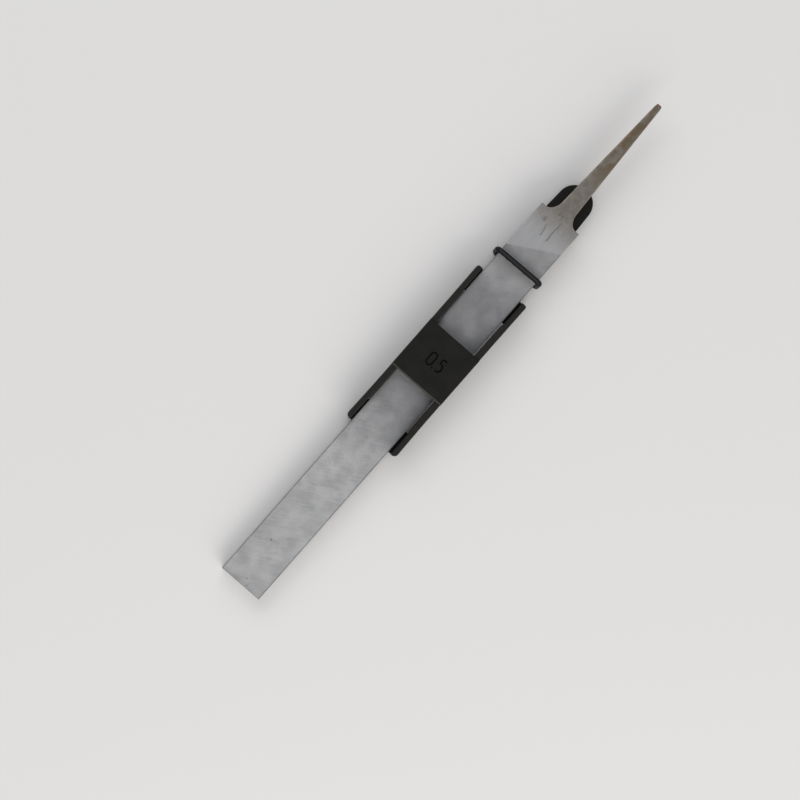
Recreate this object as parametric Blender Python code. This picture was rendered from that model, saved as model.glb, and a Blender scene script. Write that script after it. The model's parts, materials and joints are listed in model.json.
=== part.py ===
"""Base-edge file guide for skis, with its file: a moulded sleeve that holds a flat hand file
at a small angle to its own sole, and a rubber ring that clamps the file to the sleeve's tongue.

Metres. +X runs along the file towards its tang, +Z is up, and the origin is on the sole,
under the middle of the bar at the sleeve's tip-side end.
The slot frame is tipped by the bevel angle: its X axis lies in the slot's floor.
"""

import math

import bmesh
import bpy
from mathutils import Matrix, Vector

# How the pieces meet
BEVEL_ANGLE = math.radians(0.5)      # slot floor against sole: the angle that the tool files
CUT_POINT = 0.062                    # sleeve's tip-side end to where the slot floor meets the sole
TOUCH = 0.0003                       # gap kept between pieces that touch

# File: body, then tang
FILE_LENGTH = 0.200
FILE_WIDTH = 0.0200
FILE_THICKNESS = 0.0045
FILE_EDGE_BREAK = 0.0002
FILE_REACH = 0.0809                  # file's tip to the sleeve's tip-side end
SHOULDER_STEP = 0.0020               # straight step at each side of the heel, before the fillet
SHOULDER_FILLET_LENGTH = 0.0056      # along the tang: longer than it is wide
TANG_LENGTH = 0.062
TANG_ROOT_WIDTH = 0.0084
TANG_END_WIDTH = 0.0026
TANG_END_THICKNESS = 0.0020
TANG_END_CORNER = 0.0008

# Sleeve: two arms, a bar under the file at each end, and a bridge over the file
SLEEVE_LENGTH = 0.0825
ARM_THICKNESS = 0.0028
ARM_CLEARANCE = 0.0004               # beside the file, between the bars
ARM_ROUNDING = 0.0006
TIP_CORNER_LENGTH = 0.0014
TANG_CORNER = 0.0010
TIP_BAR_LENGTH = 0.0111
TANG_BAR_LENGTH = 0.0114
RIB_HEIGHT = 0.0020                  # ribs on the bars that guide the file's edges
RIB_INSET = 0.0003                   # ribs' ends behind the sleeve's and the bars' ends
RIB_ROOT = 0.0009                    # how far a rib is buried in its arm
RIB_FOOT = 0.0002                    # and in its bar
BRIDGE_START = 0.0285                # from the sleeve's tip-side end
BRIDGE_LENGTH = 0.0246
BRIDGE_THICKNESS = 0.0023
BRIDGE_STEP = 0.0006                 # its top above the arms, at its lower end
BRIDGE_PROUD = 0.0001                # bridge's sides outside the arms' sides
BRIDGE_ROUNDING = 0.0008

# Tongue: runs on from the tang-side bar under the file
TONGUE_LENGTH = 0.0530               # past the sleeve's tang-side end
TONGUE_INSET = 0.00055               # its sides inside the slot's, where it leaves the bar
TONGUE_END_RADIUS = 0.0077
TONGUE_ROOT_DEPTH = 0.0060           # how far it is buried in the bar
TONGUE_LIFT = 0.00006                # its underside above the sole, where it leaves the bar
TONGUE_BLANK_EXTRA = 0.0006          # its blank above the slot floor, cut away with the channel

# Engraved number, read from the tip end
DIGIT_HEIGHT = 0.0065
ZERO_WIDTH = 0.0033
FIVE_WIDTH = 0.0028
ENGRAVING_WIDTH = 0.0008
ENGRAVING_LIFT = 0.00005             # the tool's centre above the bridge's top
ZERO_CENTRE = -0.0023                # across the bridge, to the reader's right
POINT_CENTRE = 0.00023
FIVE_CENTRE = 0.00257
FIVE_BOWL_HEIGHT = 0.62              # half its height, as a share of half the digit's
FIVE_BOWL_WIDTH = 1.1                # shares of half the digit's width, from here down
FIVE_BOWL_SHIFT = -0.1
FIVE_BACK = -0.7
FIVE_FLAG = 0.9
FIVE_BOWL_START = 130                # degrees
FIVE_BOWL_END = -125

# Clamping ring
RING_SECTION = 0.0022
RING_REACH = 0.0105                  # sleeve's tang-side end to the ring's top strand
RING_SLANT = 0.0016                  # its bottom strand nearer the tip by this
RING_BEND = 0.0004                   # bare radius inside each corner

# Worked-out places
SLEEVE_START = -TIP_BAR_LENGTH / 2
SLEEVE_END = SLEEVE_START + SLEEVE_LENGTH
SLOT_ORIGIN = SLEEVE_START - CUT_POINT
SLOT_WIDTH = FILE_WIDTH + 2 * ARM_CLEARANCE
SLEEVE_WIDTH = SLOT_WIDTH + 2 * ARM_THICKNESS
FLOOR_AT_TANG_END = (CUT_POINT + SLEEVE_LENGTH) * math.tan(BEVEL_ANGLE)
TONGUE_THICKNESS = FLOOR_AT_TANG_END - TONGUE_LIFT
BRIDGE_UNDERSIDE = TOUCH + FILE_THICKNESS + TOUCH
BRIDGE_TOP = BRIDGE_UNDERSIDE + BRIDGE_THICKNESS
ARM_HEIGHT = (CUT_POINT + BRIDGE_START) * math.tan(BEVEL_ANGLE) + BRIDGE_TOP - BRIDGE_STEP
MARGIN = 0.010                       # how far cutters run past what they cut

for old in list(bpy.data.objects):
    bpy.data.objects.remove(old)

parts = bpy.data.collections.new("base_edge_file_guide")
cutters = bpy.data.collections.new("construction")
bpy.context.scene.collection.children.link(parts)
bpy.context.scene.collection.children.link(cutters)

slot_frame = bpy.data.objects.new("slot_frame", None)
parts.objects.link(slot_frame)
slot_frame.location = (SLOT_ORIGIN, 0, 0)
slot_frame.rotation_euler = (0, -BEVEL_ANGLE, 0)
bpy.context.view_layer.update()
SLOT = slot_frame.matrix_world.copy()
FACING_SIDE = Matrix.Rotation(math.radians(90), 4, "X")


def slot_x(distance):
    """Slot-frame X of a place given as a distance from the sleeve's tip-side end."""
    return CUT_POINT + distance


def arc(centre, radii, start, end, steps=6):
    """Points of an elliptical arc, from the start angle to the end angle in degrees."""
    points = []
    for step in range(steps + 1):
        angle = math.radians(start + (end - start) * step / steps)
        points.append((centre[0] + radii[0] * math.cos(angle), centre[1] + radii[1] * math.sin(angle)))
    return points


def curve_to_mesh(holder):
    """Replace a curve object by a closed mesh object of the same name and place."""
    bpy.context.view_layer.update()
    graph = bpy.context.evaluated_depsgraph_get()
    mesh = bpy.data.meshes.new_from_object(holder.evaluated_get(graph))
    mesh.materials.clear()
    shape = bmesh.new()
    shape.from_mesh(mesh)
    bmesh.ops.remove_doubles(shape, verts=shape.verts, dist=1e-6)
    bmesh.ops.recalc_face_normals(shape, faces=shape.faces)
    shape.to_mesh(mesh)
    shape.free()
    made = bpy.data.objects.new(holder.name, mesh)
    cutters.objects.link(made)
    made.matrix_world = holder.matrix_world
    name = holder.name
    bpy.data.objects.remove(holder)
    made.name = name
    return made


def plate(name, outline, thickness, place):
    """A flat outline in the XY plane, extruded by half its thickness to each side, then placed."""
    curve = bpy.data.curves.new(name, "CURVE")
    curve.dimensions = "2D"
    curve.fill_mode = "BOTH"
    curve.extrude = thickness / 2
    spline = curve.splines.new("POLY")
    spline.points.add(len(outline) - 1)
    for point, (x, y) in zip(spline.points, outline):
        point.co = (x, y, 0, 1)
    spline.use_cyclic_u = True
    holder = bpy.data.objects.new(name, curve)
    cutters.objects.link(holder)
    holder.matrix_world = place
    made = curve_to_mesh(holder)
    edit_mesh(made, merge_flat_faces)
    return made


def edit_mesh(made, change):
    """Run one bmesh edit on an object's mesh."""
    shape = bmesh.new()
    shape.from_mesh(made.data)
    change(shape)
    shape.to_mesh(made.data)
    shape.free()


def merge_flat_faces(shape):
    """Make each flat side one face, with no slivers between points that lie on a line."""
    flat = math.radians(0.1)
    bmesh.ops.dissolve_limit(shape, angle_limit=flat, verts=shape.verts, edges=shape.edges)


def box(name, low, high, place):
    """A box between two corners of a frame, with its size in the mesh and no object scale."""
    made = bpy.data.objects.new(name, bpy.data.meshes.new(name))
    cutters.objects.link(made)
    made.matrix_world = place

    def fill(shape):
        bmesh.ops.create_cube(shape, size=1.0)
        bmesh.ops.scale(shape, vec=Vector(high) - Vector(low), verts=shape.verts)
        bmesh.ops.translate(shape, vec=(Vector(high) + Vector(low)) / 2, verts=shape.verts)

    edit_mesh(made, fill)
    return made


def round_edges(made, radius, segments, chosen):
    """Round the edges of a mesh whose two ends both pass the test, in the mesh's own frame."""
    sharp = math.radians(20)

    def soften(shape):
        corners = [e for e in shape.edges if e.calc_face_angle(0) > sharp]
        edges = [e for e in corners if all(chosen(v.co) for v in e.verts)]
        bmesh.ops.bevel(shape, geom=edges, offset=radius, segments=segments, profile=0.5, affect="EDGES")

    edit_mesh(made, soften)


def combine(made, other, operation):
    """Join, cut or intersect a mesh with a construction shape, which is kept but not shown."""
    step = made.modifiers.new(other.name, "BOOLEAN")
    step.operation = operation
    step.solver = "EXACT"
    step.object = other
    other.hide_render = True
    other.display_type = "WIRE"


def material(name, colour, roughness, metallic):
    """A Principled material with one colour, roughness and metallic value."""
    made = bpy.data.materials.new(name)
    made.use_nodes = True
    shader = made.node_tree.nodes["Principled BSDF"]
    shader.inputs["Base Color"].default_value = (*colour, 1.0)
    shader.inputs["Roughness"].default_value = roughness
    shader.inputs["Metallic"].default_value = metallic
    made.diffuse_color = (*colour, 1.0)
    return made


def show(made, finish):
    """Move a finished object among the parts and give it its material."""
    cutters.objects.unlink(made)
    parts.objects.link(made)
    made.data.materials.append(finish)


def hang_on_slot(made):
    """Parent a piece to the slot frame without moving it."""
    made.parent = slot_frame
    made.matrix_parent_inverse = SLOT.inverted()


def make_file():
    """Flat file: its plan and its side view, each extruded and intersected, edges broken."""
    half = FILE_WIDTH / 2
    root = TANG_ROOT_WIDTH / 2
    fillet = half - SHOULDER_STEP - root
    end = FILE_LENGTH + TANG_LENGTH
    tip = TANG_END_WIDTH / 2
    corner = min(TANG_END_CORNER, tip * 0.9)
    side = [(0, -half), (FILE_LENGTH, -half)]
    fillet_radii = (SHOULDER_FILLET_LENGTH, fillet)
    side += arc((FILE_LENGTH + SHOULDER_FILLET_LENGTH, -root - fillet), fillet_radii, 180, 90)
    side += arc((end - corner, -tip + corner), (corner, corner), -90, 0, 3)
    plan = side + [(x, -y) for x, y in reversed(side)]

    thick = FILE_THICKNESS / 2
    thin = TANG_END_THICKNESS / 2
    taper = (thick - thin) / TANG_LENGTH
    past = end + MARGIN
    thin_past = thin - taper * MARGIN
    profile = [(-MARGIN, -thick), (FILE_LENGTH, -thick), (past, -thin_past)]
    profile += [(past, thin_past), (FILE_LENGTH, thick), (-MARGIN, thick)]

    place = SLOT @ Matrix.Translation((slot_x(-FILE_REACH), 0, TOUCH + thick))
    body = plate("file_plan", plan, FILE_THICKNESS * 2, place)
    side_view = plate("file_side_view", profile, FILE_WIDTH * 2, place @ FACING_SIDE)
    combine(body, side_view, "INTERSECT")
    graph = bpy.context.evaluated_depsgraph_get()
    mesh = bpy.data.meshes.new_from_object(body.evaluated_get(graph))
    made = bpy.data.objects.new("file", mesh)
    cutters.objects.link(made)
    made.matrix_world = place
    bpy.data.objects.remove(body)
    edit_mesh(made, merge_flat_faces)
    round_edges(made, FILE_EDGE_BREAK, 1, lambda p: p.x < FILE_LENGTH + TOUCH)
    hang_on_slot(made)
    show(made, material("file_steel", (0.36, 0.37, 0.38), 0.45, 0.9))


def sleeve_outline():
    """Plan of the sleeve: a long rectangle, its outer corners eased at both ends."""
    half = SLEEVE_WIDTH / 2
    ease = (TIP_CORNER_LENGTH, ARM_THICKNESS)
    side = arc((SLEEVE_START + ease[0], -half + ease[1]), ease, 180, 270)
    side += arc((SLEEVE_END - TANG_CORNER, -half + TANG_CORNER), (TANG_CORNER, TANG_CORNER), -90, 0)
    return side + [(x, -y) for x, y in reversed(side)]


def tongue_outline():
    """Plan of the tongue in the slot frame: straight tapering sides and a round end."""
    start = slot_x(SLEEVE_LENGTH - TONGUE_ROOT_DEPTH)
    leave = slot_x(SLEEVE_LENGTH)
    centre = leave + TONGUE_LENGTH - TONGUE_END_RADIUS
    half = SLOT_WIDTH / 2 - TONGUE_INSET
    lean = math.asin((half - TONGUE_END_RADIUS) / (centre - leave))
    turn = 90 - math.degrees(lean)
    slope = math.tan(lean)
    root = half + slope * (leave - start) / 2
    side = [(start, -root)]
    side += arc((centre, 0), (TONGUE_END_RADIUS, TONGUE_END_RADIUS), -turn, 0, 9)
    return side + [(x, -y) for x, y in reversed(side[:-1])]


def digit_strokes():
    """Centre lines of the engraved 0.5, in (to the right, up) from the middle of the number."""
    up = (DIGIT_HEIGHT - ENGRAVING_WIDTH) / 2
    zero = (ZERO_WIDTH - ENGRAVING_WIDTH) / 2
    five = (FIVE_WIDTH - ENGRAVING_WIDTH) / 2
    dot = ENGRAVING_WIDTH / 4
    bowl_centre = (FIVE_CENTRE + five * FIVE_BOWL_SHIFT, up * FIVE_BOWL_HEIGHT - up)
    bowl_radii = (five * FIVE_BOWL_WIDTH, up * FIVE_BOWL_HEIGHT)
    ring = arc((ZERO_CENTRE, 0), (zero, up), 0, 360, 24)[:-1]
    point = [(POINT_CENTRE - dot, -up), (POINT_CENTRE + dot, -up)]
    bowl = arc(bowl_centre, bowl_radii, FIVE_BOWL_START, FIVE_BOWL_END, 14)
    stem = [(FIVE_CENTRE + five * FIVE_FLAG, up), (FIVE_CENTRE + five * FIVE_BACK, up), bowl[0]]
    return [(ring, True), (point, False), (stem, False), (bowl, False)]


def engrave(made):
    """Cut the number into the top of the bridge with a round-nosed tool's path."""
    top = Matrix.Translation((slot_x(BRIDGE_START + BRIDGE_LENGTH / 2), 0, BRIDGE_TOP + ENGRAVING_LIFT))
    reading = Matrix.Rotation(math.radians(-90), 4, "Z")
    for number, (points, closed) in enumerate(digit_strokes()):
        curve = bpy.data.curves.new(f"stroke_{number}", "CURVE")
        curve.dimensions = "3D"
        curve.bevel_depth = ENGRAVING_WIDTH / 2
        curve.bevel_resolution = 1
        curve.use_fill_caps = True
        spline = curve.splines.new("POLY")
        spline.points.add(len(points) - 1)
        for point, (x, y) in zip(spline.points, points):
            point.co = (x, y, 0, 1)
        spline.use_cyclic_u = closed
        holder = bpy.data.objects.new(f"stroke_{number}", curve)
        cutters.objects.link(holder)
        holder.matrix_world = SLOT @ top @ reading
        combine(made, curve_to_mesh(holder), "DIFFERENCE")


def make_sleeve():
    """Moulded sleeve: arms and bars from one block, with the tongue, bridge and ribs joined."""
    block = plate("guide_body", sleeve_outline(), ARM_HEIGHT, Matrix.Translation((0, 0, ARM_HEIGHT / 2)))
    round_edges(block, ARM_ROUNDING, 2, lambda p: p.z > 0)

    blank = TONGUE_THICKNESS + TONGUE_BLANK_EXTRA
    on_tongue = Matrix.Translation((0, 0, blank / 2 - TONGUE_THICKNESS))
    combine(block, plate("tongue", tongue_outline(), blank, SLOT @ on_tongue), "UNION")

    side = SLOT_WIDTH / 2
    channel_low = (slot_x(-MARGIN), -side, 0)
    channel_high = (slot_x(SLEEVE_LENGTH + TONGUE_LENGTH + MARGIN), side, ARM_HEIGHT + MARGIN)
    combine(block, box("channel", channel_low, channel_high, SLOT), "DIFFERENCE")
    window_low = (slot_x(TIP_BAR_LENGTH), -side, -MARGIN)
    window_high = (slot_x(SLEEVE_LENGTH - TANG_BAR_LENGTH), side, RIB_HEIGHT)
    combine(block, box("window", window_low, window_high, SLOT), "DIFFERENCE")

    half = SLEEVE_WIDTH / 2 + BRIDGE_PROUD
    low = (slot_x(BRIDGE_START), -half, BRIDGE_UNDERSIDE)
    high = (slot_x(BRIDGE_START + BRIDGE_LENGTH), half, BRIDGE_TOP)
    bridge = box("bridge", low, high, SLOT)
    round_edges(bridge, BRIDGE_ROUNDING, 3, lambda p: p.z > (low[2] + high[2]) / 2)
    combine(block, bridge, "UNION")

    rib_face = FILE_WIDTH / 2 + TOUCH
    rib_back = SLOT_WIDTH / 2 + RIB_ROOT
    ends = [(RIB_INSET, TIP_BAR_LENGTH - RIB_INSET)]
    ends += [(SLEEVE_LENGTH - TANG_BAR_LENGTH + RIB_INSET, SLEEVE_LENGTH - RIB_INSET)]
    for number, (start, end) in enumerate(ends):
        for side in (-1, 1):
            faces = sorted((side * rib_face, side * rib_back))
            low = (slot_x(start), faces[0], -RIB_FOOT)
            high = (slot_x(end), faces[1], RIB_HEIGHT)
            combine(block, box(f"rib_{number}_{(side + 1) // 2}", low, high, SLOT), "UNION")

    engrave(block)
    show(block, material("guide_plastic", (0.017, 0.017, 0.016), 0.55, 0.0))


def make_ring():
    """Rubber ring stretched round the file and the tongue, leaning back towards the tip."""
    radius = RING_SECTION / 2
    half_width = FILE_WIDTH / 2 + TOUCH + radius
    top = TOUCH + FILE_THICKNESS + TOUCH + radius
    bottom = -TONGUE_THICKNESS - TOUCH - radius
    height = math.hypot(top - bottom, RING_SLANT)
    bend = radius + RING_BEND
    across = half_width - bend
    up = height / 2 - bend
    loop = arc((across, up), (bend, bend), 0, 90, 5)
    loop += arc((-across, up), (bend, bend), 90, 180, 5)
    loop += arc((-across, -up), (bend, bend), 180, 270, 5)
    loop += arc((across, -up), (bend, bend), 270, 360, 5)

    curve = bpy.data.curves.new("o_ring", "CURVE")
    curve.dimensions = "3D"
    curve.bevel_depth = radius
    curve.bevel_resolution = 3
    spline = curve.splines.new("POLY")
    spline.points.add(len(loop) - 1)
    for point, (y, z) in zip(spline.points, loop):
        point.co = (0, y, z, 1)
    spline.use_cyclic_u = True
    ring = bpy.data.objects.new("o_ring", curve)
    cutters.objects.link(ring)
    middle = slot_x(SLEEVE_LENGTH + RING_REACH) - RING_SLANT / 2
    lean = Matrix.Rotation(math.atan2(RING_SLANT, top - bottom), 4, "Y")
    ring.matrix_world = SLOT @ Matrix.Translation((middle, 0, (top + bottom) / 2)) @ lean
    made = curve_to_mesh(ring)
    made.data.shade_smooth()
    hang_on_slot(made)
    show(made, material("ring_rubber", (0.02, 0.02, 0.021), 0.5, 0.0))


make_file()
make_sleeve()
make_ring()
bpy.context.view_layer.update()
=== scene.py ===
import json
import math
import random

import bmesh
import bpy
from mathutils import Matrix, Vector, noise


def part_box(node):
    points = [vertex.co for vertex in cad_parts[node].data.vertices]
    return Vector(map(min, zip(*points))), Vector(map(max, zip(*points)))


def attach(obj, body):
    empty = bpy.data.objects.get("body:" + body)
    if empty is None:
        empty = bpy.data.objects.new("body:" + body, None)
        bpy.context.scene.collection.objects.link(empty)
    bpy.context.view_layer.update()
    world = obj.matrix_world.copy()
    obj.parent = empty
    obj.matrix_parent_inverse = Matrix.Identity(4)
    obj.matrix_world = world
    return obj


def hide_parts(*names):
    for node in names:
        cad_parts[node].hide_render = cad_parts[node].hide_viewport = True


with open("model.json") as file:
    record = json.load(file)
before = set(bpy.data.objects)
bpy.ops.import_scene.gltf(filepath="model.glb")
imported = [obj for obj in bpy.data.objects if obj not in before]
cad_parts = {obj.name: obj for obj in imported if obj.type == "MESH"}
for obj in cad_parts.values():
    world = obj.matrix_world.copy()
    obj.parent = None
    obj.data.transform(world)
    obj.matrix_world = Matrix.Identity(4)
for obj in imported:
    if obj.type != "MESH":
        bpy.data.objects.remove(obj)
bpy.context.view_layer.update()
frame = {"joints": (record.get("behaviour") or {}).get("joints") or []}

# ---------------------------------------------------------------------------------------------
# FILE BLANK. The hand file's body and tang are one forging of tool steel. The body is ground flat
# with its long edges just broken. The tang is left as forged, rounder and tapering both ways.
# It slides through the sleeve along a line half a degree steeper than the sole.
# ---------------------------------------------------------------------------------------------
MM = 0.001
file_low, file_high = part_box("file")
slope = math.asin(frame["joints"][0]["axis"][2])

BODY_LENGTH = 200.0 * MM
BODY_THICKNESS = 4.5 * MM
BODY_HALF = (file_high.y - file_low.y) / 2
BROKEN_EDGE = 0.06 * MM
HEEL_STEP = 2.0 * MM
TANG_ROOT_HALF = 4.2 * MM
TANG_END_HALF = 1.3 * MM
TANG_END_THICKNESS = 2.0 * MM
TANG_FILLET = 5.6 * MM
TANG_ROUNDING = 0.7 * MM
TANG_NOSE = ((0.35 * MM, 0.12 * MM), (0.0, 0.45 * MM))    # before its end, and how far drawn in there
FORGING_WOBBLE = 0.05 * MM
FORGING_CELLS = 260                  # unevenness of the forging, in bumps per metre
FILLET_STATIONS = 12
TANG_STATIONS = 48
GROUND_COLOURS = ((0.435, 0.437, 0.442), (0.49, 0.492, 0.495))
WARM_COLOUR = (0.48, 0.455, 0.462)
SIDE_COLOURS = ((0.33, 0.33, 0.33), (0.42, 0.42, 0.425))
FORGED_COLOURS = ((0.215, 0.193, 0.165), (0.27, 0.25, 0.22))
RUST_COLOURS = ((0.155, 0.14, 0.085), (0.19, 0.105, 0.065))
STAIN_COLOUR = (0.13, 0.115, 0.10)
STAINS = (                           # past the heel from and to, middle across, half width, darkness
    (-10.3 * MM, -5.6 * MM, 2.3 * MM, 0.18 * MM, 0.75),
    (-5.4 * MM, -3.4 * MM, 4.8 * MM, 0.60 * MM, 0.45),
    (-11.3 * MM, -1.0 * MM, -1.7 * MM, 0.18 * MM, 0.75),
    (0.5 * MM, 1.8 * MM, 1.55 * MM, 0.35 * MM, 0.80),
    (-0.2 * MM, 1.3 * MM, -0.25 * MM, 0.18 * MM, 0.75),
)
whole_length = (file_high.x - file_low.x) / math.cos(slope)
tang_length = whole_length - BODY_LENGTH

file_place = Matrix.Translation((file_low.x + BODY_THICKNESS * math.sin(slope), 0, file_low.z))
file_place = file_place @ Matrix.Rotation(-slope, 4, "Y")


def rounded_section(half_width, low, high, radius, corner_steps=3, side_steps=1):
    """Points (y, z) once round a rectangle with rounded corners, each side cut in equal steps."""
    middles = [(half_width - radius, high - radius), (radius - half_width, high - radius)]
    middles += [(radius - half_width, low + radius), (half_width - radius, low + radius)]
    points = []
    for quarter_turn, (y, z) in enumerate(middles):
        for step in range(corner_steps + 1):
            angle = math.radians(90 * (quarter_turn + step / corner_steps))
            points.append((y + radius * math.cos(angle), z + radius * math.sin(angle)))
        next_y, next_z = middles[(quarter_turn + 1) % 4]
        for step in range(1, side_steps):
            share = step / side_steps
            y_there = points[-1][0] if quarter_turn in (1, 3) else y + (next_y - y) * share
            z_there = points[-1][1] if quarter_turn in (0, 2) else z + (next_z - z) * share
            points.append((y_there, z_there))
    return points


def loft(name, sections, place, sharp_degrees=35, ring=False):
    """A closed skin through sections of equal point count, its ends capped or joined in a ring."""
    shape = bmesh.new()
    rows = [[shape.verts.new(point) for point in section] for section in sections]
    pairs = list(zip(rows, rows[1:] + rows[:1])) if ring else list(zip(rows, rows[1:]))
    count = len(rows[0])
    for here, there in pairs:
        for i in range(count):
            shape.faces.new((here[i], here[(i + 1) % count], there[(i + 1) % count], there[i]))
    if not ring:
        shape.faces.new(rows[0])
        shape.faces.new(rows[-1])
    bmesh.ops.recalc_face_normals(shape, faces=shape.faces)
    mesh = bpy.data.meshes.new(name)
    shape.to_mesh(mesh)
    shape.free()
    mesh.transform(place)
    made = bpy.data.objects.new(name, mesh)
    bpy.context.scene.collection.objects.link(made)
    mesh.shade_smooth()
    mesh.set_sharp_from_angle(angle=math.radians(sharp_degrees))
    return made


def body_section(x, ease=0.0, dip=0.0):
    """Section of the ground body, its sides drawn in by ease and its faces by dip."""
    points = rounded_section(BODY_HALF - ease, dip, BODY_THICKNESS - dip, BROKEN_EDGE, 3, 8)
    return [(x, y, z) for y, z in points]


def tang_half(past):
    """Half the tang's width at a distance past the heel: concave fillets, then a straight taper."""
    straight = TANG_ROOT_HALF + (TANG_END_HALF - TANG_ROOT_HALF) * past / tang_length
    if past >= TANG_FILLET:
        return straight
    rise = BODY_HALF - HEEL_STEP - TANG_ROOT_HALF
    return straight + rise * (1 - math.sqrt(1 - (1 - past / TANG_FILLET) ** 2))


def tang_section(past, shrink=0.0):
    """Section of the tang, with the slight unevenness of a hammered surface."""
    thick = BODY_THICKNESS + (TANG_END_THICKNESS - BODY_THICKNESS) * past / tang_length
    low = (BODY_THICKNESS - thick) / 2 + shrink
    high = BODY_THICKNESS - low
    grown = BROKEN_EDGE + (TANG_ROUNDING - BROKEN_EDGE) * min(1.0, past / TANG_FILLET)
    radius = min(grown, (high - low) * 0.45)
    points = rounded_section(tang_half(past) - shrink, low, high, radius, 3, 8)
    depth = FORGING_WOBBLE * min(1.0, past / (2 * TANG_FILLET))
    middle = BODY_THICKNESS / 2
    section = []
    for y, z in points:
        bump = noise.noise(Vector((past, y, z)) * FORGING_CELLS) * depth
        uneven_y = y * (1 + bump / BODY_HALF)
        uneven_z = middle + (z - middle) * (1 + bump / thick * 2)
        section.append((BODY_LENGTH + past, uneven_y, uneven_z))
    return section


sections = [body_section(0, BROKEN_EDGE, BROKEN_EDGE), body_section(BROKEN_EDGE)]
sections += [body_section(BODY_LENGTH * share / 10) for share in range(1, 10)]
sections += [body_section(BODY_LENGTH - BROKEN_EDGE), body_section(BODY_LENGTH, BROKEN_EDGE)]
for step in range(FILLET_STATIONS + 1):
    sections.append(tang_section(TANG_FILLET * (step / FILLET_STATIONS) ** 1.6))
straight_length = tang_length - TANG_FILLET - 0.6 * MM
for step in range(1, TANG_STATIONS):
    sections.append(tang_section(TANG_FILLET + straight_length * step / TANG_STATIONS))
sections += [tang_section(tang_length - before, shrink) for before, shrink in TANG_NOSE]
blank = loft("file_blank", sections, file_place, 30)


def start_material(name, roughness, metallic=0.0):
    """An empty Principled material and its object-space coordinates, in metres."""
    made = bpy.data.materials.new(name)
    made.use_nodes = True
    tree = made.node_tree
    shader = tree.nodes["Principled BSDF"]
    shader.inputs["Roughness"].default_value = roughness
    shader.inputs["Metallic"].default_value = metallic
    place = tree.nodes.new("ShaderNodeTexCoord").outputs["Object"]
    return made, tree, shader, place


def speckle(tree, place, per_metre, detail=3.0, roughness=0.55, turn=0.0):
    """Noise whose cells are counted per metre along each axis; turn leans it about Z."""
    stretch = tree.nodes.new("ShaderNodeMapping")
    stretch.vector_type = "TEXTURE"
    stretch.inputs["Rotation"].default_value = (0, 0, turn)
    stretch.inputs["Scale"].default_value = [1 / cells for cells in per_metre]
    tree.links.new(place, stretch.inputs["Vector"])
    made = tree.nodes.new("ShaderNodeTexNoise")
    made.inputs["Scale"].default_value = 1.0
    made.inputs["Detail"].default_value = detail
    made.inputs["Roughness"].default_value = roughness
    tree.links.new(stretch.outputs["Vector"], made.inputs["Vector"])
    return made.outputs["Fac"]


def between(tree, value, low, high, to_low=0.0, to_high=1.0, smooth=True):
    """Stretch a value so that low becomes to_low and high becomes to_high."""
    made = tree.nodes.new("ShaderNodeMapRange")
    made.interpolation_type = "SMOOTHSTEP" if smooth else "LINEAR"
    limits = {"From Min": low, "From Max": high, "To Min": to_low, "To Max": to_high}
    for name, number in limits.items():
        made.inputs[name].default_value = number
    tree.links.new(value, made.inputs["Value"])
    return made.outputs["Result"]


def combine(tree, first, second, operation="MULTIPLY"):
    """Two values multiplied, or combined by another operation."""
    made = tree.nodes.new("ShaderNodeMath")
    made.operation = operation
    for value, socket in ((first, made.inputs[0]), (second, made.inputs[1])):
        if isinstance(value, (int, float)):
            socket.default_value = value
        else:
            tree.links.new(value, socket)
    return made.outputs["Value"]


def band(tree, value, low, high, soft):
    """A share that is 1 between two limits and fades out past each of them."""
    rising = between(tree, value, low - soft, low + soft)
    return combine(tree, rising, between(tree, value, high + soft, high - soft))


def tint(tree, share, under, over):
    """Lay one colour over another by a share from 0 to 1."""
    made = tree.nodes.new("ShaderNodeMix")
    made.data_type = "RGBA"
    tree.links.new(share, made.inputs["Factor"])
    for value, socket in ((under, made.inputs["A"]), (over, made.inputs["B"])):
        if isinstance(value, tuple):
            socket.default_value = (*value, 1.0)
        else:
            tree.links.new(value, socket)
    return made.outputs["Result"]


def relief(tree, shader, height, depth):
    """Give the surface fine relief of a real depth in metres."""
    made = tree.nodes.new("ShaderNodeBump")
    made.inputs["Strength"].default_value = 1.0
    made.inputs["Distance"].default_value = depth
    tree.links.new(height, made.inputs["Height"])
    tree.links.new(made.outputs["Normal"], shader.inputs["Normal"])


def axis(tree, place, letter):
    """One coordinate of the surface: X runs along the file, Y across it."""
    made = tree.nodes.new("ShaderNodeSeparateXYZ")
    tree.links.new(place, made.inputs["Vector"])
    return made.outputs[letter]


def long_edges(tree, place, width, strength):
    """A share that rises to its full strength at the file's two long edges."""
    size = tree.nodes.new("ShaderNodeMath")
    size.operation = "ABSOLUTE"
    tree.links.new(axis(tree, place, "Y"), size.inputs[0])
    return between(tree, size.outputs["Value"], BODY_HALF - width, BODY_HALF - width / 3, 0.0, strength)


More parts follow.
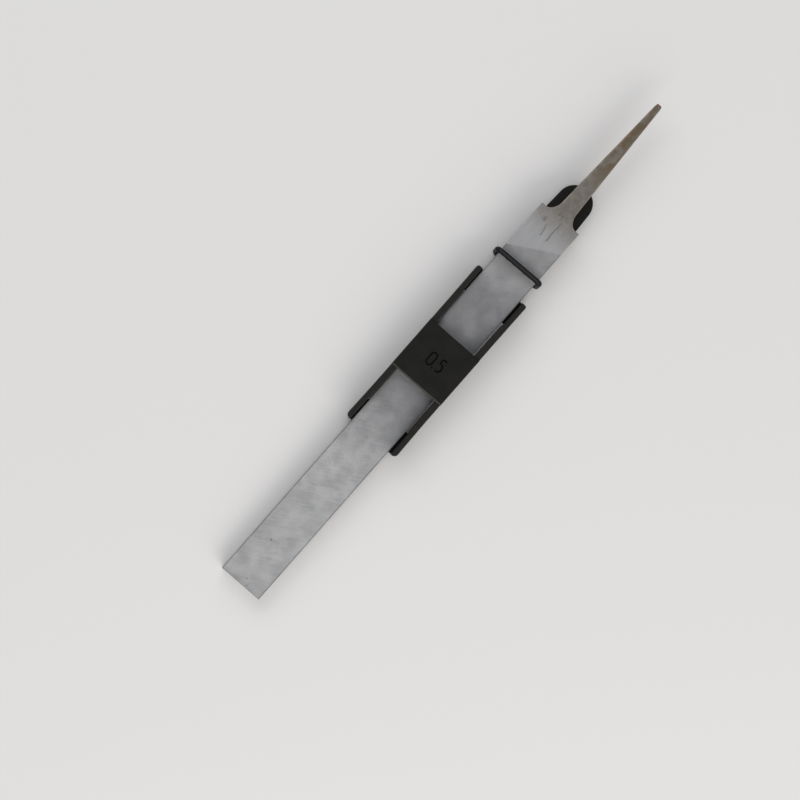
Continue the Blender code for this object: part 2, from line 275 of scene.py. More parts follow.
def blank_steel():
    """Grey ground steel with a few stains by the heel, then brown forged skin, rusty far out."""
    made, tree, shader, place = start_material("blank_steel", 0.5, 0.85)
    heel = file_place.translation.x + BODY_LENGTH
    grain = speckle(tree, place, (160, 3600, 3600), 4.0)
    cloud = speckle(tree, place, (210, 260, 260), 3.0)
    streak = speckle(tree, place, (60, 5200, 5200), 3.0, 0.6)
    patch = speckle(tree, place, (420, 330, 330), 4.0, 0.6)
    ground = tint(tree, between(tree, grain, 0.3, 0.7), *GROUND_COLOURS)
    ground = tint(tree, between(tree, cloud, 0.45, 0.7, 0.0, 0.55), ground, WARM_COLOUR)
    sides = tint(tree, between(tree, streak, 0.36, 0.64), *SIDE_COLOURS)
    ground = tint(tree, long_edges(tree, place, 0.12 * MM, 1.0), ground, sides)
    forged = tint(tree, between(tree, patch, 0.35, 0.7), *FORGED_COLOURS)
    rust = tint(tree, between(tree, patch, 0.4, 0.62), *RUST_COLOURS)
    x = axis(tree, place, "X")
    far_out = between(tree, x, heel + 14 * MM, heel + 34 * MM, 0.0, 0.85)
    far_out = combine(tree, far_out, between(tree, cloud, 0.3, 0.55))
    skin = tint(tree, far_out, forged, rust)
    colour = tint(tree, between(tree, x, heel - 14 * MM, heel + 6 * MM), ground, skin)
    drift = speckle(tree, place, (230, 230, 230), 2.0)
    wander = between(tree, drift, 0.3, 0.7, -0.5 * MM, 0.5 * MM)
    along = combine(tree, x, wander, "ADD")
    across = combine(tree, axis(tree, place, "Y"), wander, "ADD")
    for start, end, middle, half, strength in STAINS:
        mark = band(tree, along, heel + start, heel + end, 0.4 * MM)
        mark = combine(tree, mark, band(tree, across, middle - half, middle + half, half + 0.1 * MM))
        colour = tint(tree, combine(tree, mark, strength), colour, STAIN_COLOUR)
    tree.links.new(colour, shader.inputs["Base Color"])
    tree.links.new(between(tree, grain, 0.2, 0.8, 0.42, 0.58), shader.inputs["Roughness"])
    relief(tree, shader, grain, 0.012 * MM)
    return made


blank.data.materials.append(blank_steel())
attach(blank, "file")
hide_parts("file")

# ---------------------------------------------------------------------------------------------
# FILE TEETH. A chisel raises one slanting row of teeth after another on each wide face, from the
# tip to a slanting line before the heel. The steep side of each tooth faces the tip, because the
# file cuts as it is pushed. The edges and the heel stay plain.
# ---------------------------------------------------------------------------------------------
TOOTH_PITCH = 0.44 * MM
TOOTH_HEIGHT = 0.13 * MM
TOOTH_STEEP_SHARE = 0.45
TOOTH_ROOT = 0.012 * MM              # lowest part of a tooth above the blank's face
TOOTH_BED = 0.05 * MM                # how deep the toothed layer is sunk in the blank
CUT_END_MIDDLE = 183.3 * MM          # from the tip to the slanting line, on the centre line
CUT_LEAN = 5.6 / 9.85                # how far the line moves towards the tip for each step to +Y
CUT_SIDE_MARGIN = 0.04 * MM
TOOTH_COLUMNS = 7                    # points along one row of teeth
TOOTH_LOWEST = 0.92                  # least share of the height that a row reaches
TOOTH_SWAY = 0.02                    # how far a row wavers, as a share of the pitch
CUT_COLOURS = ((0.325, 0.326, 0.329), (0.375, 0.376, 0.379))
CLOUD_COLOUR = (0.41, 0.411, 0.414)
DUST_COLOUR = (0.305, 0.306, 0.309)
PIT_COLOUR = (0.12, 0.12, 0.125)
# painted shade: steel darkened where the sleeve's arms and bridge shade it, and as the light falls off
# towards the tang
SLEEVE_SHADE_COLOUR = (0.12, 0.121, 0.127)
# painted shadow: the steel beside the -Y arm, which shades it
ARM_SHADOW_COLOUR = (0.07, 0.072, 0.08)
BLUNT_COLOUR = (0.12, 0.12, 0.12)
EDGE_COLOUR = (0.10, 0.10, 0.10)


def tooth_rows(name, face_z, outward, seed):
    """One cut face as a closed layer: a saw-tooth top, clipped square at the file's tip."""
    chance = random.Random(seed)
    half = BODY_HALF - CUT_SIDE_MARGIN
    last = TOOTH_COLUMNS - 1
    ys = [-half + 2 * half * i / last for i in range(TOOTH_COLUMNS)]
    reach = CUT_END_MIDDLE + CUT_LEAN * half + TOOTH_PITCH * 4
    count = int(reach / TOOTH_PITCH)
    shape = bmesh.new()
    tops = []
    floors = []
    for tooth in range(count + 1):
        start = CUT_END_MIDDLE - (count - tooth) * TOOTH_PITCH
        rise = TOOTH_HEIGHT * chance.uniform(TOOTH_LOWEST, 1.0)
        stations = [(start, TOOTH_ROOT)]
        if tooth < count:
            stations.append((start + TOOTH_PITCH * TOOTH_STEEP_SHARE, TOOTH_ROOT + rise))
        for x, z in stations:
            sway = [chance.uniform(-1, 1) * TOOTH_PITCH * TOOTH_SWAY for _ in ys]
            top = []
            floor = []
            for y, shift in zip(ys, sway):
                place_x = x + shift - CUT_LEAN * y * outward
                top.append(shape.verts.new((place_x, y, face_z + z * outward)))
                floor.append(shape.verts.new((place_x, y, face_z - TOOTH_BED * outward)))
            tops.append(top)
            floors.append(floor)
    for rows in (tops, floors):
        for here, there in zip(rows, rows[1:]):
            for i in range(last):
                shape.faces.new((here[i], here[i + 1], there[i + 1], there[i]))
    for i in range(len(tops) - 1):
        for j in (0, -1):
            shape.faces.new((tops[i][j], tops[i + 1][j], floors[i + 1][j], floors[i][j]))
    for i in range(last):
        for end in (0, -1):
            shape.faces.new((tops[end][i], tops[end][i + 1], floors[end][i + 1], floors[end][i]))
    geometry = shape.verts[:] + shape.edges[:] + shape.faces[:]
    cut = bmesh.ops.bisect_plane(
        shape, geom=geometry, plane_co=(CUT_SIDE_MARGIN, 0, 0), plane_no=(1, 0, 0), clear_inner=True
    )
    edges = [item for item in cut["geom_cut"] if isinstance(item, bmesh.types.BMEdge)]
    bmesh.ops.holes_fill(shape, edges=edges, sides=0)
    bmesh.ops.recalc_face_normals(shape, faces=shape.faces)
    mesh = bpy.data.meshes.new(name)
    shape.to_mesh(mesh)
    shape.free()
    mesh.transform(file_place)
    made = bpy.data.objects.new(name, mesh)
    bpy.context.scene.collection.objects.link(made)
    return made


def cut_steel():
    """Rougher steel of the cut faces, clouded and speckled with dust, with painted shade along the
    sleeve and a painted shadow beside one arm.
    """
    made, tree, shader, place = start_material("cut_steel", 0.55, 0.9)
    lean = math.atan(CUT_LEAN)
    rows = speckle(tree, place, (1500, 120, 1500), 3.0, 0.6, lean)
    cloud = speckle(tree, place, (150, 170, 170), 3.0, 0.5)
    dust = speckle(tree, place, (2600, 2600, 2600), 2.0, 0.6)
    pits = speckle(tree, place, (520, 560, 560), 1.0, 0.3)
    colour = tint(tree, between(tree, rows, 0.3, 0.7), *CUT_COLOURS)
    colour = tint(tree, between(tree, cloud, 0.35, 0.65, 0.0, 0.45), colour, CLOUD_COLOUR)
    colour = tint(tree, between(tree, dust, 0.35, 0.65, 0.0, 0.35), colour, DUST_COLOUR)
    colour = tint(tree, between(tree, pits, 0.75, 0.82, 0.0, 0.6), colour, PIT_COLOUR)
    tip = file_place.translation.x
    x = axis(tree, place, "X")
    # Painted shade: the cut steel darkens from 60 mm past the tip for the shade of the sleeve's arms
    # and bridge and the light falling off towards the tang, easing off from 152 mm.
    sleeve_shade = between(tree, x, tip + 60 * MM, tip + 112 * MM, 0.0, 0.68)
    shade_easing = between(tree, x, tip + 152 * MM, tip + 170 * MM, 1.0, 0.60)
    colour = tint(tree, combine(tree, sleeve_shade, shade_easing), colour, SLEEVE_SHADE_COLOUR)
    # Painted shadow of the -Y arm on the steel inside the sleeve, darker towards that side.
    beside = between(tree, axis(tree, place, "Y"), -BODY_HALF * 0.1, -BODY_HALF, 0.0, 0.55)
    arm_shadow_span = band(tree, x, tip + 86 * MM, tip + 147 * MM, 11 * MM)
    colour = tint(tree, combine(tree, beside, arm_shadow_span), colour, ARM_SHADOW_COLOUR)
    blunt = between(tree, x, tip + 2.5 * MM, tip, 0.0, 0.25)
    colour = tint(tree, blunt, colour, BLUNT_COLOUR)
    colour = tint(tree, long_edges(tree, place, 0.55 * MM, 0.75), colour, EDGE_COLOUR)
    tree.links.new(colour, shader.inputs["Base Color"])
    tree.links.new(between(tree, cloud, 0.2, 0.8, 0.60, 0.50), shader.inputs["Roughness"])
    relief(tree, shader, dust, 0.01 * MM)
    return made


cut_finish = cut_steel()
cut_faces = (("teeth_upper", BODY_THICKNESS, 1, 11), ("teeth_lower", 0.0, -1, 12))
for name, face_z, outward, seed in cut_faces:
    teeth = tooth_rows(name, face_z, outward, seed)
    teeth.data.materials.append(cut_finish)
    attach(teeth, "file")

# ---------------------------------------------------------------------------------------------
# SLEEVE. One black plastic moulding: two crowned arms, a bar under the file at each end, a raised
# bridge over the file with the angle sunk into it, and a thin tongue that runs on under the file.
# Its slot's floor rises half a degree towards the tang, and it lies to one side within its play.
# ---------------------------------------------------------------------------------------------
guide_low, guide_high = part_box("guide_body")
FIT_GAP = 0.3 * MM                   # the file's underside above the slot floor
SLEEVE_LENGTH = 82.5 * MM
ARM_THICKNESS = 2.8 * MM
ARM_GAP = 0.4 * MM                   # beside the file, between the bars
SIDE_PLAY = 0.28 * MM                # the sleeve lies over to one side by this, within its gaps
BRIDGE_PROUD = 0.1 * MM
BRIDGE_START = 28.5 * MM
BRIDGE_LENGTH = 24.6 * MM
BRIDGE_THICKNESS = 2.3 * MM
BRIDGE_STEP = 0.6 * MM
BRIDGE_ROUNDING = 0.45 * MM
BAR_LENGTHS = (11.1 * MM, 11.4 * MM)
RIB_GAP = 0.33 * MM                  # beside the file, at the bars
RIB_HEIGHT = 2.0 * MM
RIB_FOOT = 0.1 * MM                  # how far a rib is sunk in the bar
RIB_EASE = 1.1 * MM                  # length over which a rib fades into the arm
RIB_END = 0.25 * MM                  # its end inside the sleeve's end
RIB_CORNER = 0.2 * MM
BAR_ROUNDING = 0.18 * MM
TONGUE_INSET = 0.55 * MM
TONGUE_END_RADIUS = 7.7 * MM
TONGUE_LIFT = 0.06 * MM
TONGUE_ROUNDING = 0.3 * MM
TONGUE_ROOT = 6.0 * MM               # how far it runs into the bar
BURIED = 1.3 * MM                    # how far joined pieces run into each other

sleeve_start = guide_low.x
sleeve_end = sleeve_start + SLEEVE_LENGTH
arm_inner = BODY_HALF + ARM_GAP
arm_outer = arm_inner + ARM_THICKNESS
floor_origin = file_place @ Vector((0, 0, -FIT_GAP))
slot_place = Matrix.Translation(floor_origin) @ Matrix.Rotation(-slope, 4, "Y")
bridge_under = FIT_GAP + BODY_THICKNESS + FIT_GAP
bridge_top = bridge_under + BRIDGE_THICKNESS


def slot_x(distance):
    """Slot-frame X of a place given as a distance from the sleeve's tip-side end."""
    return (sleeve_start + distance - floor_origin.x) / math.cos(slope)


def floor_z(x):
    """Height of the slot floor above the sole at a place along the sleeve."""
    return floor_origin.z + (x - floor_origin.x) * math.tan(slope)


def quarter(length, depth, distance):
    """Depth still missing at a distance from an end that is rounded over a length."""
    if distance >= length:
        return 0.0
    return depth * (1 - math.sqrt(1 - (1 - distance / length) ** 2))


arm_top = floor_z(sleeve_start + BRIDGE_START) + bridge_top - BRIDGE_STEP
ARM_END_LENGTH = 1.9 * MM            # slanting corner at the tip-side end
ARM_END_CORNER = 1.0 * MM            # round corner at the tang-side end
ARM_END_FLAT = 0.3 * MM              # least width of an arm at its very end
ARM_CROWN = 0.5 * MM
ARM_FOOT = 0.25 * MM
ARM_NOSE = 0.45 * MM
ARM_SETBACK = 0.45 * MM              # the arms are thinner beside the bars
SETBACK_BLEND = 1.5 * MM
FLARE = (0.33 * MM, 0.10 * MM)       # the arms spring outwards at the two ends
FLARE_LENGTH = 28.0 * MM


def arm_section(distance, side):
    """Section of an arm: crowned on top, a little rounded at the foot, drawn in at both ends."""
    back = SLEEVE_LENGTH - distance
    spare = ARM_THICKNESS - ARM_SETBACK - ARM_END_FLAT
    ways = zip(FLARE, (distance, back))
    flare = sum(most * max(0.0, 1 - way / FLARE_LENGTH) ** 2 for most, way in ways)
    outer = arm_outer - quarter(ARM_END_LENGTH, spare, distance)
    outer -= quarter(ARM_END_CORNER, ARM_END_CORNER, back)
    inside = min(distance - BAR_LENGTHS[0], back - BAR_LENGTHS[1])
    share = min(1.0, max(0.0, inside / SETBACK_BLEND))
    inner = arm_inner + ARM_SETBACK * (1 - share * share * (3 - 2 * share))
    top = arm_top - quarter(ARM_NOSE, ARM_NOSE, distance) - quarter(ARM_NOSE, ARM_NOSE, back)
    middle = (outer + inner) / 2 + flare
    half = (outer - inner) / 2
    crown = min(ARM_CROWN, half * 0.9)
    points = []
    for centre, radius, start in (((half - crown), crown, 0), (-(half - crown), crown, 90)):
        for step in range(7):
            angle = math.radians(start + 90 * step / 6)
            points.append((centre + radius * math.cos(angle), top - crown + radius * math.sin(angle)))
    foot = min(ARM_FOOT, half * 0.8)
    for centre, start in ((-(half - foot), 180), ((half - foot), 270)):
        for step in range(4):
            angle = math.radians(start + 90 * step / 3)
            points.append((centre + foot * math.cos(angle), foot + foot * math.sin(angle)))
    return [(sleeve_start + distance, side * (middle + y), z) for y, z in points]


def end_stations(reach, steps):
    """Distances that crowd towards an end, so that a rounded end comes out even."""
    return [reach * (1 - math.cos(math.pi / 2 * step / steps)) for step in range(steps + 1)]


def make_arm(side):
    """One arm along the whole sleeve."""
    near = end_stations(ARM_END_LENGTH, 9)
    far = [SLEEVE_LENGTH - d for d in reversed(end_stations(ARM_END_CORNER, 8))]
    middle = [2.5 * MM * step for step in range(1, 4)]
    middle += [BAR_LENGTHS[0] + SETBACK_BLEND * step / 6 for step in range(7)]
    middle += [BRIDGE_START * share for share in (0.55, 0.7, 0.85, 1.0)]
    middle += [SLEEVE_LENGTH * share for share in (0.5, 0.6, 0.7, 0.78)]
    middle += [SLEEVE_LENGTH - BAR_LENGTHS[1] - SETBACK_BLEND * step / 6 for step in range(6, -1, -1)]
    middle += [SLEEVE_LENGTH - 3.2 * MM * step for step in range(3, 0, -1)]
    return loft(f"arm_{side}", [arm_section(d, side) for d in near + middle + far], Matrix.Identity(4))


def make_bar(number, start, end):
    """A bar under the file: flat below, its top in the slot's floor, its free edges rounded."""
    sections = []
    for ease, x in ((1, start), (0, start + BAR_ROUNDING), (0, end - BAR_ROUNDING), (1, end)):
        high = floor_z(x) - ease * BAR_ROUNDING
        low = ease * BAR_ROUNDING
        half = arm_inner + BURIED
        sections.append([(x, half, low), (x, half, high), (x, -half, high), (x, -half, low)])
    return loft(f"bar_{number}", sections, Matrix.Identity(4))


def make_rib(number, side, free_end):
    """A low rib beside the file on a bar. It fades into the arm at the window."""
    start, end = RIB_END, BAR_LENGTHS[0]
    if free_end > 0:
        start, end = SLEEVE_LENGTH - BAR_LENGTHS[1], SLEEVE_LENGTH - RIB_END
    hidden = arm_inner + 0.05 * MM
    steps = 16
    sections = []
    for step in range(steps + 1):
        distance = start + (end - start) * step / steps
        from_window = end - distance if free_end < 0 else distance - start
        share = max(0.0, 1 - from_window / RIB_EASE)
        face = BODY_HALF + RIB_GAP + (hidden - BODY_HALF - RIB_GAP) * share * share * (3 - 2 * share)
        back = arm_inner + BURIED
        x = slot_x(distance)
        corner = min(RIB_CORNER, back - face)
        profile = [(back, -RIB_FOOT), (back, RIB_HEIGHT), (face + corner, RIB_HEIGHT)]
        profile += [(face, RIB_HEIGHT - corner), (face, -RIB_FOOT)]
        sections.append([(x, side * y, z) for y, z in profile])
    return loft(f"rib_{number}", sections, slot_place)


def make_tongue():
    """The tongue: from inside the tang-side bar, tapering, to a half-round end."""
    thickness = floor_z(sleeve_end) - TONGUE_LIFT
    leave = slot_x(SLEEVE_LENGTH)
    end = (guide_high.x - floor_origin.x) / math.cos(slope)
    centre = end - TONGUE_END_RADIUS
    root = arm_inner - TONGUE_INSET
    lean = math.asin((root - TONGUE_END_RADIUS) / (centre - leave))
    sections = []
    root_x = leave - TONGUE_ROOT
    stations = [root_x + (centre - root_x) * step / 8 for step in range(8)]
    for x in stations:
        half = root - (x - leave) * math.tan(lean)
        points = rounded_section(half, -thickness, 0.0, TONGUE_ROUNDING, 4)
        sections.append([(x, y, z) for y, z in points])
    for step in range(19):
        angle = lean + (math.pi / 2 - lean) * step / 19
        x = centre + TONGUE_END_RADIUS * math.sin(angle)
        half = TONGUE_END_RADIUS * math.cos(angle)
        pinch = TONGUE_ROUNDING * max(0.0, (step - 14) / 5) ** 2
        rounding = min(TONGUE_ROUNDING, half * 0.9)
        points = rounded_section(half, -thickness + pinch, -pinch, rounding, 4)
        sections.append([(x, y, z) for y, z in points])
    return loft("tongue", sections, slot_place)


def make_bridge():
    """The bridge across both arms, its upper edges well rounded."""
    shape = bmesh.new()
    bmesh.ops.create_cube(shape, size=1.0)
    low = Vector((slot_x(BRIDGE_START), -arm_outer - BRIDGE_PROUD, bridge_under))
    high = Vector((slot_x(BRIDGE_START + BRIDGE_LENGTH), arm_outer + BRIDGE_PROUD, bridge_top))
    bmesh.ops.scale(shape, vec=high - low, verts=shape.verts)
    bmesh.ops.translate(shape, vec=(high + low) / 2, verts=shape.verts)
    upper = [e for e in shape.edges if all(v.co.z > (low.z + high.z) / 2 for v in e.verts)]
    bmesh.ops.bevel(shape, geom=upper, offset=BRIDGE_ROUNDING, segments=6, profile=0.5, affect="EDGES")
    under = [e for e in shape.edges if all(v.co.z < low.z + 0.1 * MM for v in e.verts)]
    bmesh.ops.bevel(shape, geom=under, offset=0.15 * MM, segments=2, profile=0.5, affect="EDGES")
    mesh = bpy.data.meshes.new("bridge")
    shape.to_mesh(mesh)
    shape.free()
    mesh.transform(slot_place)
    made = bpy.data.objects.new("bridge", mesh)
    bpy.context.scene.collection.objects.link(made)
    return made


DIGIT_HEIGHT = 6.5 * MM
STROKE = 0.8 * MM
STROKE_DEPTH = 0.7 * MM
ZERO_WIDTH = 3.5 * MM
FIVE_WIDTH = 3.1 * MM
ZERO_CENTRE = -2.15 * MM
POINT_CENTRE = 0.23 * MM
FIVE_CENTRE = 2.65 * MM
BLACK = ((0.0076, 0.0074, 0.0064), (0.0108, 0.0104, 0.0088))
# darker in the engraved grooves: painted shade in the recess
GROOVE_SHADE_BLACK = ((0.0058, 0.0056, 0.005), (0.0075, 0.0072, 0.0063))


def arc_points(centre, radii, start, end, steps):
    """Points of an elliptical arc, from the start angle to the end angle in degrees."""
    angles = [math.radians(start + (end - start) * step / steps) for step in range(steps + 1)]
    return [(centre[0] + radii[0] * math.cos(a), centre[1] + radii[1] * math.sin(a)) for a in angles]


def number_strokes():
    """Centre lines of the number 0.5, as (right, up) from its middle, and whether each closes."""
    up = (DIGIT_HEIGHT - STROKE) / 2
    zero = (ZERO_WIDTH - STROKE) / 2
    five = (FIVE_WIDTH - STROKE) / 2
    straight = up - zero
    ring = arc_points((ZERO_CENTRE, straight), (zero, zero), 0, 180, 14)
    ring += arc_points((ZERO_CENTRE, -straight), (zero, zero), 180, 360, 14)
    point = [(POINT_CENTRE - 0.3 * MM, -up), (POINT_CENTRE + 0.3 * MM, -up)]
    bowl_height = up * 0.62
    bowl_centre = (FIVE_CENTRE - five * 0.1, bowl_height - up)
    bowl = arc_points(bowl_centre, (five * 1.1, bowl_height), 130, -125, 28)
    stem = [(FIVE_CENTRE + five * 0.9, up), (FIVE_CENTRE - five * 0.7, up), bowl[0]]
    return [(ring, True), (point, False), (stem, False), (bowl, False)]


def stroke_cutter(number, points, closed):
    """A round-nosed tool's path along one stroke, deeper than it is wide, on top of the bridge."""
    curve = bpy.data.curves.new(f"stroke_{number}", "CURVE")
    curve.dimensions = "3D"
    curve.bevel_depth = STROKE / 2
    curve.bevel_resolution = 4
    curve.use_fill_caps = True
    curve.materials.append(groove_finish_and_shade)
    spline = curve.splines.new("POLY")
    spline.points.add(len(points) - 1)
    for point, (across, up) in zip(spline.points, points):
        point.co = (across, up, 0, 1)
    spline.use_cyclic_u = closed
    holder = bpy.data.objects.new(f"stroke_{number}", curve)
    bpy.context.scene.collection.objects.link(holder)
    graph = bpy.context.evaluated_depsgraph_get()
    mesh = bpy.data.meshes.new_from_object(holder.evaluated_get(graph))
    bpy.data.objects.remove(holder)
    shape = bmesh.new()
    shape.from_mesh(mesh)
    bmesh.ops.remove_doubles(shape, verts=shape.verts, dist=0.001 * MM)
    bmesh.ops.recalc_face_normals(shape, faces=shape.faces)
    shape.to_mesh(mesh)
    shape.free()
    top = Matrix.Translation((slot_x(BRIDGE_START + BRIDGE_LENGTH / 2), 0, bridge_top + 0.04 * MM))
    deep = Matrix.Diagonal((1, 1, STROKE_DEPTH / (STROKE / 2), 1))
    mesh.transform(slot_place @ top @ deep @ Matrix.Rotation(math.radians(-90), 4, "Z"))
    made = bpy.data.objects.new(f"stroke_{number}", mesh)
    bpy.context.scene.collection.objects.link(made)
    return made


def merge(base, others, operation):
    """Join or cut a mesh with others for good, and remove them."""
    for other in others:
        step = base.modifiers.new(other.name, "BOOLEAN")
        step.operation = operation
        step.solver = "EXACT"
        step.object = other
    graph = bpy.context.evaluated_depsgraph_get()
    mesh = bpy.data.meshes.new_from_object(base.evaluated_get(graph))
    base.modifiers.clear()
    base.data = mesh
    for other in others:
        bpy.data.objects.remove(other)


def scaled(colour, factor):
    """A colour made lighter or darker by a factor."""
    return tuple(factor * part for part in colour)


def sleeve_plastic(name, colours, specular, roughness):
    """Black nylon with its mould's fine grain and scuffs, painted lighter below the bridge's top for
    light on the arms, with a painted highlight along the bridge's tip-side edge and painted shade on
    the tongue under the file.
    """
    dark, light = colours
    made, tree, shader, place = start_material(name, roughness)
    shader.inputs["Specular IOR Level"].default_value = specular
    grain = speckle(tree, place, (5200, 5200, 5200), 2.0, 0.6)
    cloud = speckle(tree, place, (190, 190, 190), 3.0, 0.5)
    scuff = speckle(tree, place, (420, 900, 420), 4.0, 0.65, 0.7)
    colour = tint(tree, between(tree, cloud, 0.3, 0.7), dark, light)
    colour = tint(tree, between(tree, scuff, 0.60, 0.78, 0.0, 0.35), colour, scaled(dark, 3))
    edge = (slot_place @ Vector((slot_x(BRIDGE_START), 0, bridge_top))).x
    x = axis(tree, place, "X")
    # Painted highlight: a lighter line along the bridge's tip-side edge, where its rounding catches the
    # light.
    near = band(tree, x, edge + 0.1 * MM, edge + 0.6 * MM, 0.1 * MM)
    high = between(tree, axis(tree, place, "Z"), arm_top, arm_top + 0.1 * MM)
    # Painted light: everything below the bridge's top is made lighter for light falling on the arms,
    # mottled by the scuff noise.
    scuffs_and_painted_light = tint(tree, between(tree, scuff, 0.3, 0.7), scaled(light, 1.1), scaled(light, 1.65))
    colour = tint(tree, high, scuffs_and_painted_light, colour)
    colour = tint(tree, combine(tree, near, high), colour, scaled(dark, 8))
    # Painted shade: the tongue past the sleeve is darker where the file above shades it.
    tongue_shade = between(tree, x, sleeve_end, sleeve_end + 4 * MM, 0.0, 0.7)
    colour = tint(tree, tongue_shade, colour, scaled(dark, 0.35))
    tree.links.new(colour, shader.inputs["Base Color"])
    uneven = between(tree, grain, 0.2, 0.8, roughness - 0.07, roughness + 0.07)
    tree.links.new(uneven, shader.inputs["Roughness"])
    relief(tree, shader, grain, 0.02 * MM)
    return made


moulded_finish = sleeve_plastic("sleeve_plastic", BLACK, 0.19, 0.42)
# The grooves' rougher, less shiny finish is their own. Their darker colour is painted shade.
groove_finish_and_shade = sleeve_plastic("engraved_plastic_and_shade", GROOVE_SHADE_BLACK, 0.12, 0.6)

sleeve = make_arm(1)
sleeve.data.materials.append(moulded_finish)
joined = [make_arm(-1), make_bar(0, sleeve_start, sleeve_start + BAR_LENGTHS[0])]
joined += [make_bar(1, sleeve_end - BAR_LENGTHS[1], sleeve_end), make_bridge(), make_tongue()]
for number, (side, free_end) in enumerate(((1, -1), (-1, -1), (1, 1), (-1, 1))):
    joined.append(make_rib(number, side, free_end))
merge(sleeve, joined, "UNION")
cutters = [stroke_cutter(i, points, closed) for i, (points, closed) in enumerate(number_strokes())]
merge(sleeve, cutters, "DIFFERENCE")
sleeve.data.transform(Matrix.Translation((0, -SIDE_PLAY, 0)))
sleeve.name = "guide_sleeve"
sleeve.data.name = "guide_sleeve"
sleeve.data.shade_smooth()
sleeve.data.set_sharp_from_angle(angle=math.radians(32))
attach(sleeve, "guide")
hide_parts("guide_body")

# ---------------------------------------------------------------------------------------------
# CLAMPING RING. A black rubber O-ring stretched round the file and the tongue. It lies square
# across the file on top and slants back towards the tip as it goes down to the tongue. A faint
# moulding seam runs round its outside.
# ---------------------------------------------------------------------------------------------
RING_SECTION = 2.25 * MM
RING_REACH = 10.5 * MM               # sleeve's tang-side end to the top strand
RING_SLANT = 1.6 * MM
RING_YAW = math.radians(1.0)
RING_PRESS = 0.02 * MM               # left between rubber and steel
RING_BEND = 0.35 * MM                # bare radius inside each corner
SEAM_HEIGHT = 0.05 * MM
RING_SIDES = 28                      # points round the ring's section
BEND_STEPS = 12                      # and along each of its corners
RUBBER_COLOURS = ((0.003, 0.003, 0.0033), (0.007, 0.007, 0.0074))
# painted sheen: the lighter grey along the ring's top
CREST_SHEEN_COLOUR = (0.028, 0.028, 0.029)


def ring_path():
    """Centre line of the stretched ring in its own plane, with its outward direction at each point."""
    radius = RING_SECTION / 2
    top = FIT_GAP + BODY_THICKNESS + TOOTH_HEIGHT + RING_PRESS + radius
    bottom = -(floor_z(sleeve_end) - TONGUE_LIFT) - RING_PRESS - radius
    bend = radius + RING_BEND
    across = BODY_HALF + RING_PRESS + radius - bend
    height = math.hypot(top - bottom, RING_SLANT)
    up = height / 2 - bend
    points = []
    for y, z, start in ((across, up, 0), (-across, up, 90), (-across, -up, 180), (across, -up, 270)):
        for step in range(BEND_STEPS + 1):
            angle = math.radians(start + 90 * step / BEND_STEPS)
            way = (math.cos(angle), math.sin(angle))
            points.append(((y + bend * way[0], z + bend * way[1]), way))
    middle_x = slot_x(SLEEVE_LENGTH + RING_REACH) - RING_SLANT / 2
    middle = Matrix.Translation((middle_x, 0, (top + bottom) / 2))
    lean = Matrix.Rotation(math.atan2(RING_SLANT, top - bottom), 4, "Y")
    return points, slot_place @ middle @ Matrix.Rotation(RING_YAW, 4, "Z") @ lean


def make_ring():
    """The ring's round section swept along its path, with a low seam on the outside."""
    path, place = ring_path()
    radius = RING_SECTION / 2
    sections = []
    for (y, z), (out_y, out_z) in path:
        section = []
        for step in range(RING_SIDES):
            angle = 2 * math.pi * step / RING_SIDES
            seam = SEAM_HEIGHT if step == 0 else 0.0
            out = (radius + seam) * math.cos(angle)
            section.append(((radius + seam) * math.sin(angle), y + out * out_y, z + out * out_z))
        sections.append(section)
    return loft("clamp_ring", sections, place, 60, ring=True)


def ring_rubber():
    """Black rubber with a cloudy bloom and fine grain, and a painted sheen along its top where it
    reflects the light above.
    """
    made, tree, shader, place = start_material("ring_rubber", 0.45)
    shader.inputs["Specular IOR Level"].default_value = 0.13
    grain = speckle(tree, place, (3800, 3800, 3800), 3.0, 0.6)
    bloom = speckle(tree, place, (700, 700, 700), 3.0, 0.5)
    colour = tint(tree, between(tree, bloom, 0.4, 0.7), *RUBBER_COLOURS)
    # Painted sheen: a lighter, mottled stripe along the ring's top strand, where it reflects the light
    # above.
    crest_sheen = between(tree, axis(tree, place, "Z"), ring_crest - 0.30 * MM, ring_crest - 0.03 * MM)
    crest_sheen = combine(tree, crest_sheen, between(tree, grain, 0.3, 0.6, 0.5, 1.0))
    colour = tint(tree, crest_sheen, colour, CREST_SHEEN_COLOUR)
    tree.links.new(colour, shader.inputs["Base Color"])
    tree.links.new(between(tree, bloom, 0.3, 0.7, 0.36, 0.52), shader.inputs["Roughness"])
    relief(tree, shader, grain, 0.012 * MM)
    return made


clamp_ring = make_ring()
ring_crest = max(vertex.co.z for vertex in clamp_ring.data.vertices)
clamp_ring.data.materials.append(ring_rubber())
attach(clamp_ring, "ring")
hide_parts("o_ring")

# ---------------------------------------------------------------------------------------------
# TABLE AND LIGHT. The tool lies on a plain pale table, on the ring's lower strand and the file's
# tip, so the table is tipped a little against the sole. A large soft light stands low beyond the
# tip on one side, a weaker one stands across from it, and the room is evenly pale.
# ---------------------------------------------------------------------------------------------
TABLE_SIZE = 3.0
TABLE_COLOUR = (0.77, 0.758, 0.745, 1.0)
KEY_PLACE = (-0.80, -1.03, 0.64)
FILL_PLACE = (0.80, 1.03, 0.74)
LIGHT_SIZE = (2.0, 0.80)
KEY_POWER = 18.5
FILL_POWER = 10.0
WARM_WHITE = (1.0, 0.985, 0.96)
COOL_WHITE = (0.98, 0.985, 1.0)
ROOM_COLOUR = (0.965, 0.975, 1.0, 1.0)
ROOM_STRENGTH = 0.51

ring_low, ring_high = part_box("o_ring")
ring_bottom = min(vertex.co.z for vertex in clamp_ring.data.vertices)
ring_foot = Vector(((ring_low.x + ring_high.x) / 2 - RING_SLANT / 2, 0, ring_bottom))
tip_foot = file_place @ Vector((0, 0, -TOOTH_HEIGHT))
rise = math.atan2(tip_foot.z - ring_foot.z, ring_foot.x - tip_foot.x)

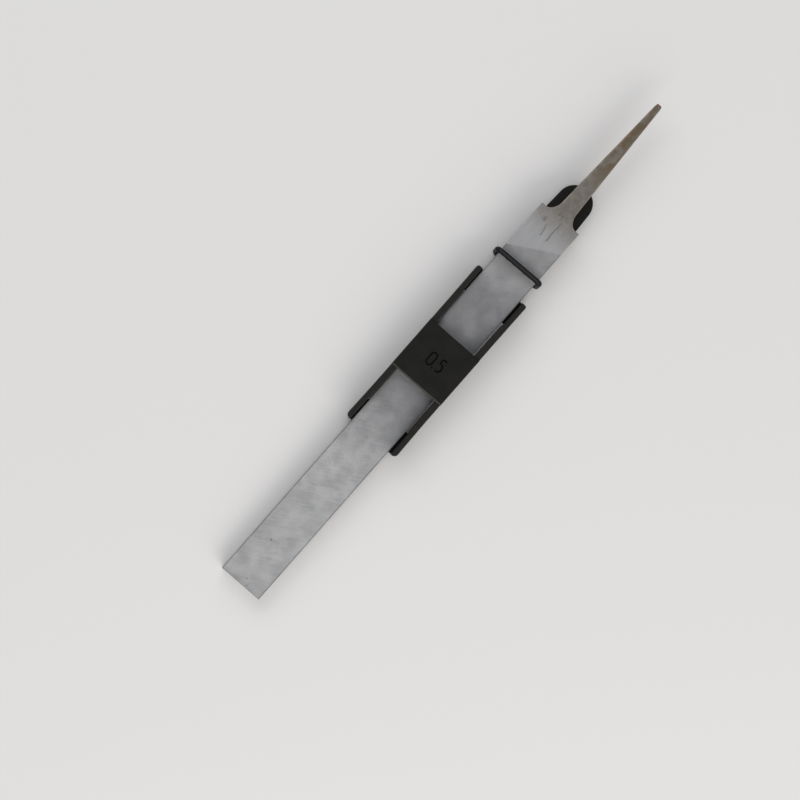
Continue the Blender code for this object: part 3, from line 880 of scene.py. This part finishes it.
table_shape = bmesh.new()
bmesh.ops.create_grid(table_shape, x_segments=1, y_segments=1, size=TABLE_SIZE / 2)
table_mesh = bpy.data.meshes.new("table")
table_shape.to_mesh(table_mesh)
table_shape.free()
table = bpy.data.objects.new("table", table_mesh)
bpy.context.scene.collection.objects.link(table)
table.matrix_world = Matrix.Translation((ring_foot + tip_foot) / 2) @ Matrix.Rotation(rise, 4, "Y")
table_finish, _, table_shader, _ = start_material("pale_table", 0.75)
table_shader.inputs["Base Color"].default_value = TABLE_COLOUR
table.data.materials.append(table_finish)


def soft_light(name, place, power, colour):
    """A rectangular soft light that faces the sole's middle."""
    lamp = bpy.data.lights.new(name, "AREA")
    lamp.shape = "RECTANGLE"
    lamp.size, lamp.size_y = LIGHT_SIZE
    lamp.energy = power
    lamp.color = colour
    made = bpy.data.objects.new(name, lamp)
    bpy.context.scene.collection.objects.link(made)
    made.location = place
    made.rotation_euler = (-Vector(place)).to_track_quat("-Z", "Y").to_euler()


soft_light("key", KEY_PLACE, KEY_POWER, WARM_WHITE)
soft_light("fill", FILL_PLACE, FILL_POWER, COOL_WHITE)
room = bpy.data.worlds.new("room")
room.use_nodes = True
room.node_tree.nodes["Background"].inputs["Color"].default_value = ROOM_COLOUR
room.node_tree.nodes["Background"].inputs["Strength"].default_value = ROOM_STRENGTH
bpy.context.scene.world = room
bpy.context.scene.view_settings.view_transform = "Standard"

# ---------------------------------------------------------------------------------------------
# CAMERA. It looks down on the tool from just off the vertical, with the file lying across the
# frame from lower left to upper right.
# ---------------------------------------------------------------------------------------------
CAMERA_DISTANCE = 1.2
SENSOR = 36.0
FIELD = 0.3292                       # width of the view at the file's upper face
FILE_ANGLE = math.radians(48.744)    # file against the frame's lower edge
CAMERA_TILT = math.radians(1.0)      # towards +Y, so that high points shift to the lower right
VIEW_CENTRE = (100.3 * MM, 0.43 * MM)

aim = file_place @ Vector((VIEW_CENTRE[0], VIEW_CENTRE[1], BODY_THICKNESS))
camera_data = bpy.data.cameras.new("camera")
camera_data.sensor_width = SENSOR
camera_data.lens = SENSOR * CAMERA_DISTANCE / FIELD
camera = bpy.data.objects.new("camera", camera_data)
bpy.context.scene.collection.objects.link(camera)
turned = Matrix.Rotation(-FILE_ANGLE, 4, "Z")
tilted = Matrix.Rotation(-CAMERA_TILT, 4, "X")
pulled_back = Matrix.Translation((0, 0, CAMERA_DISTANCE))
camera.matrix_world = Matrix.Translation(aim) @ tilted @ turned @ pulled_back
bpy.context.scene.camera = camera
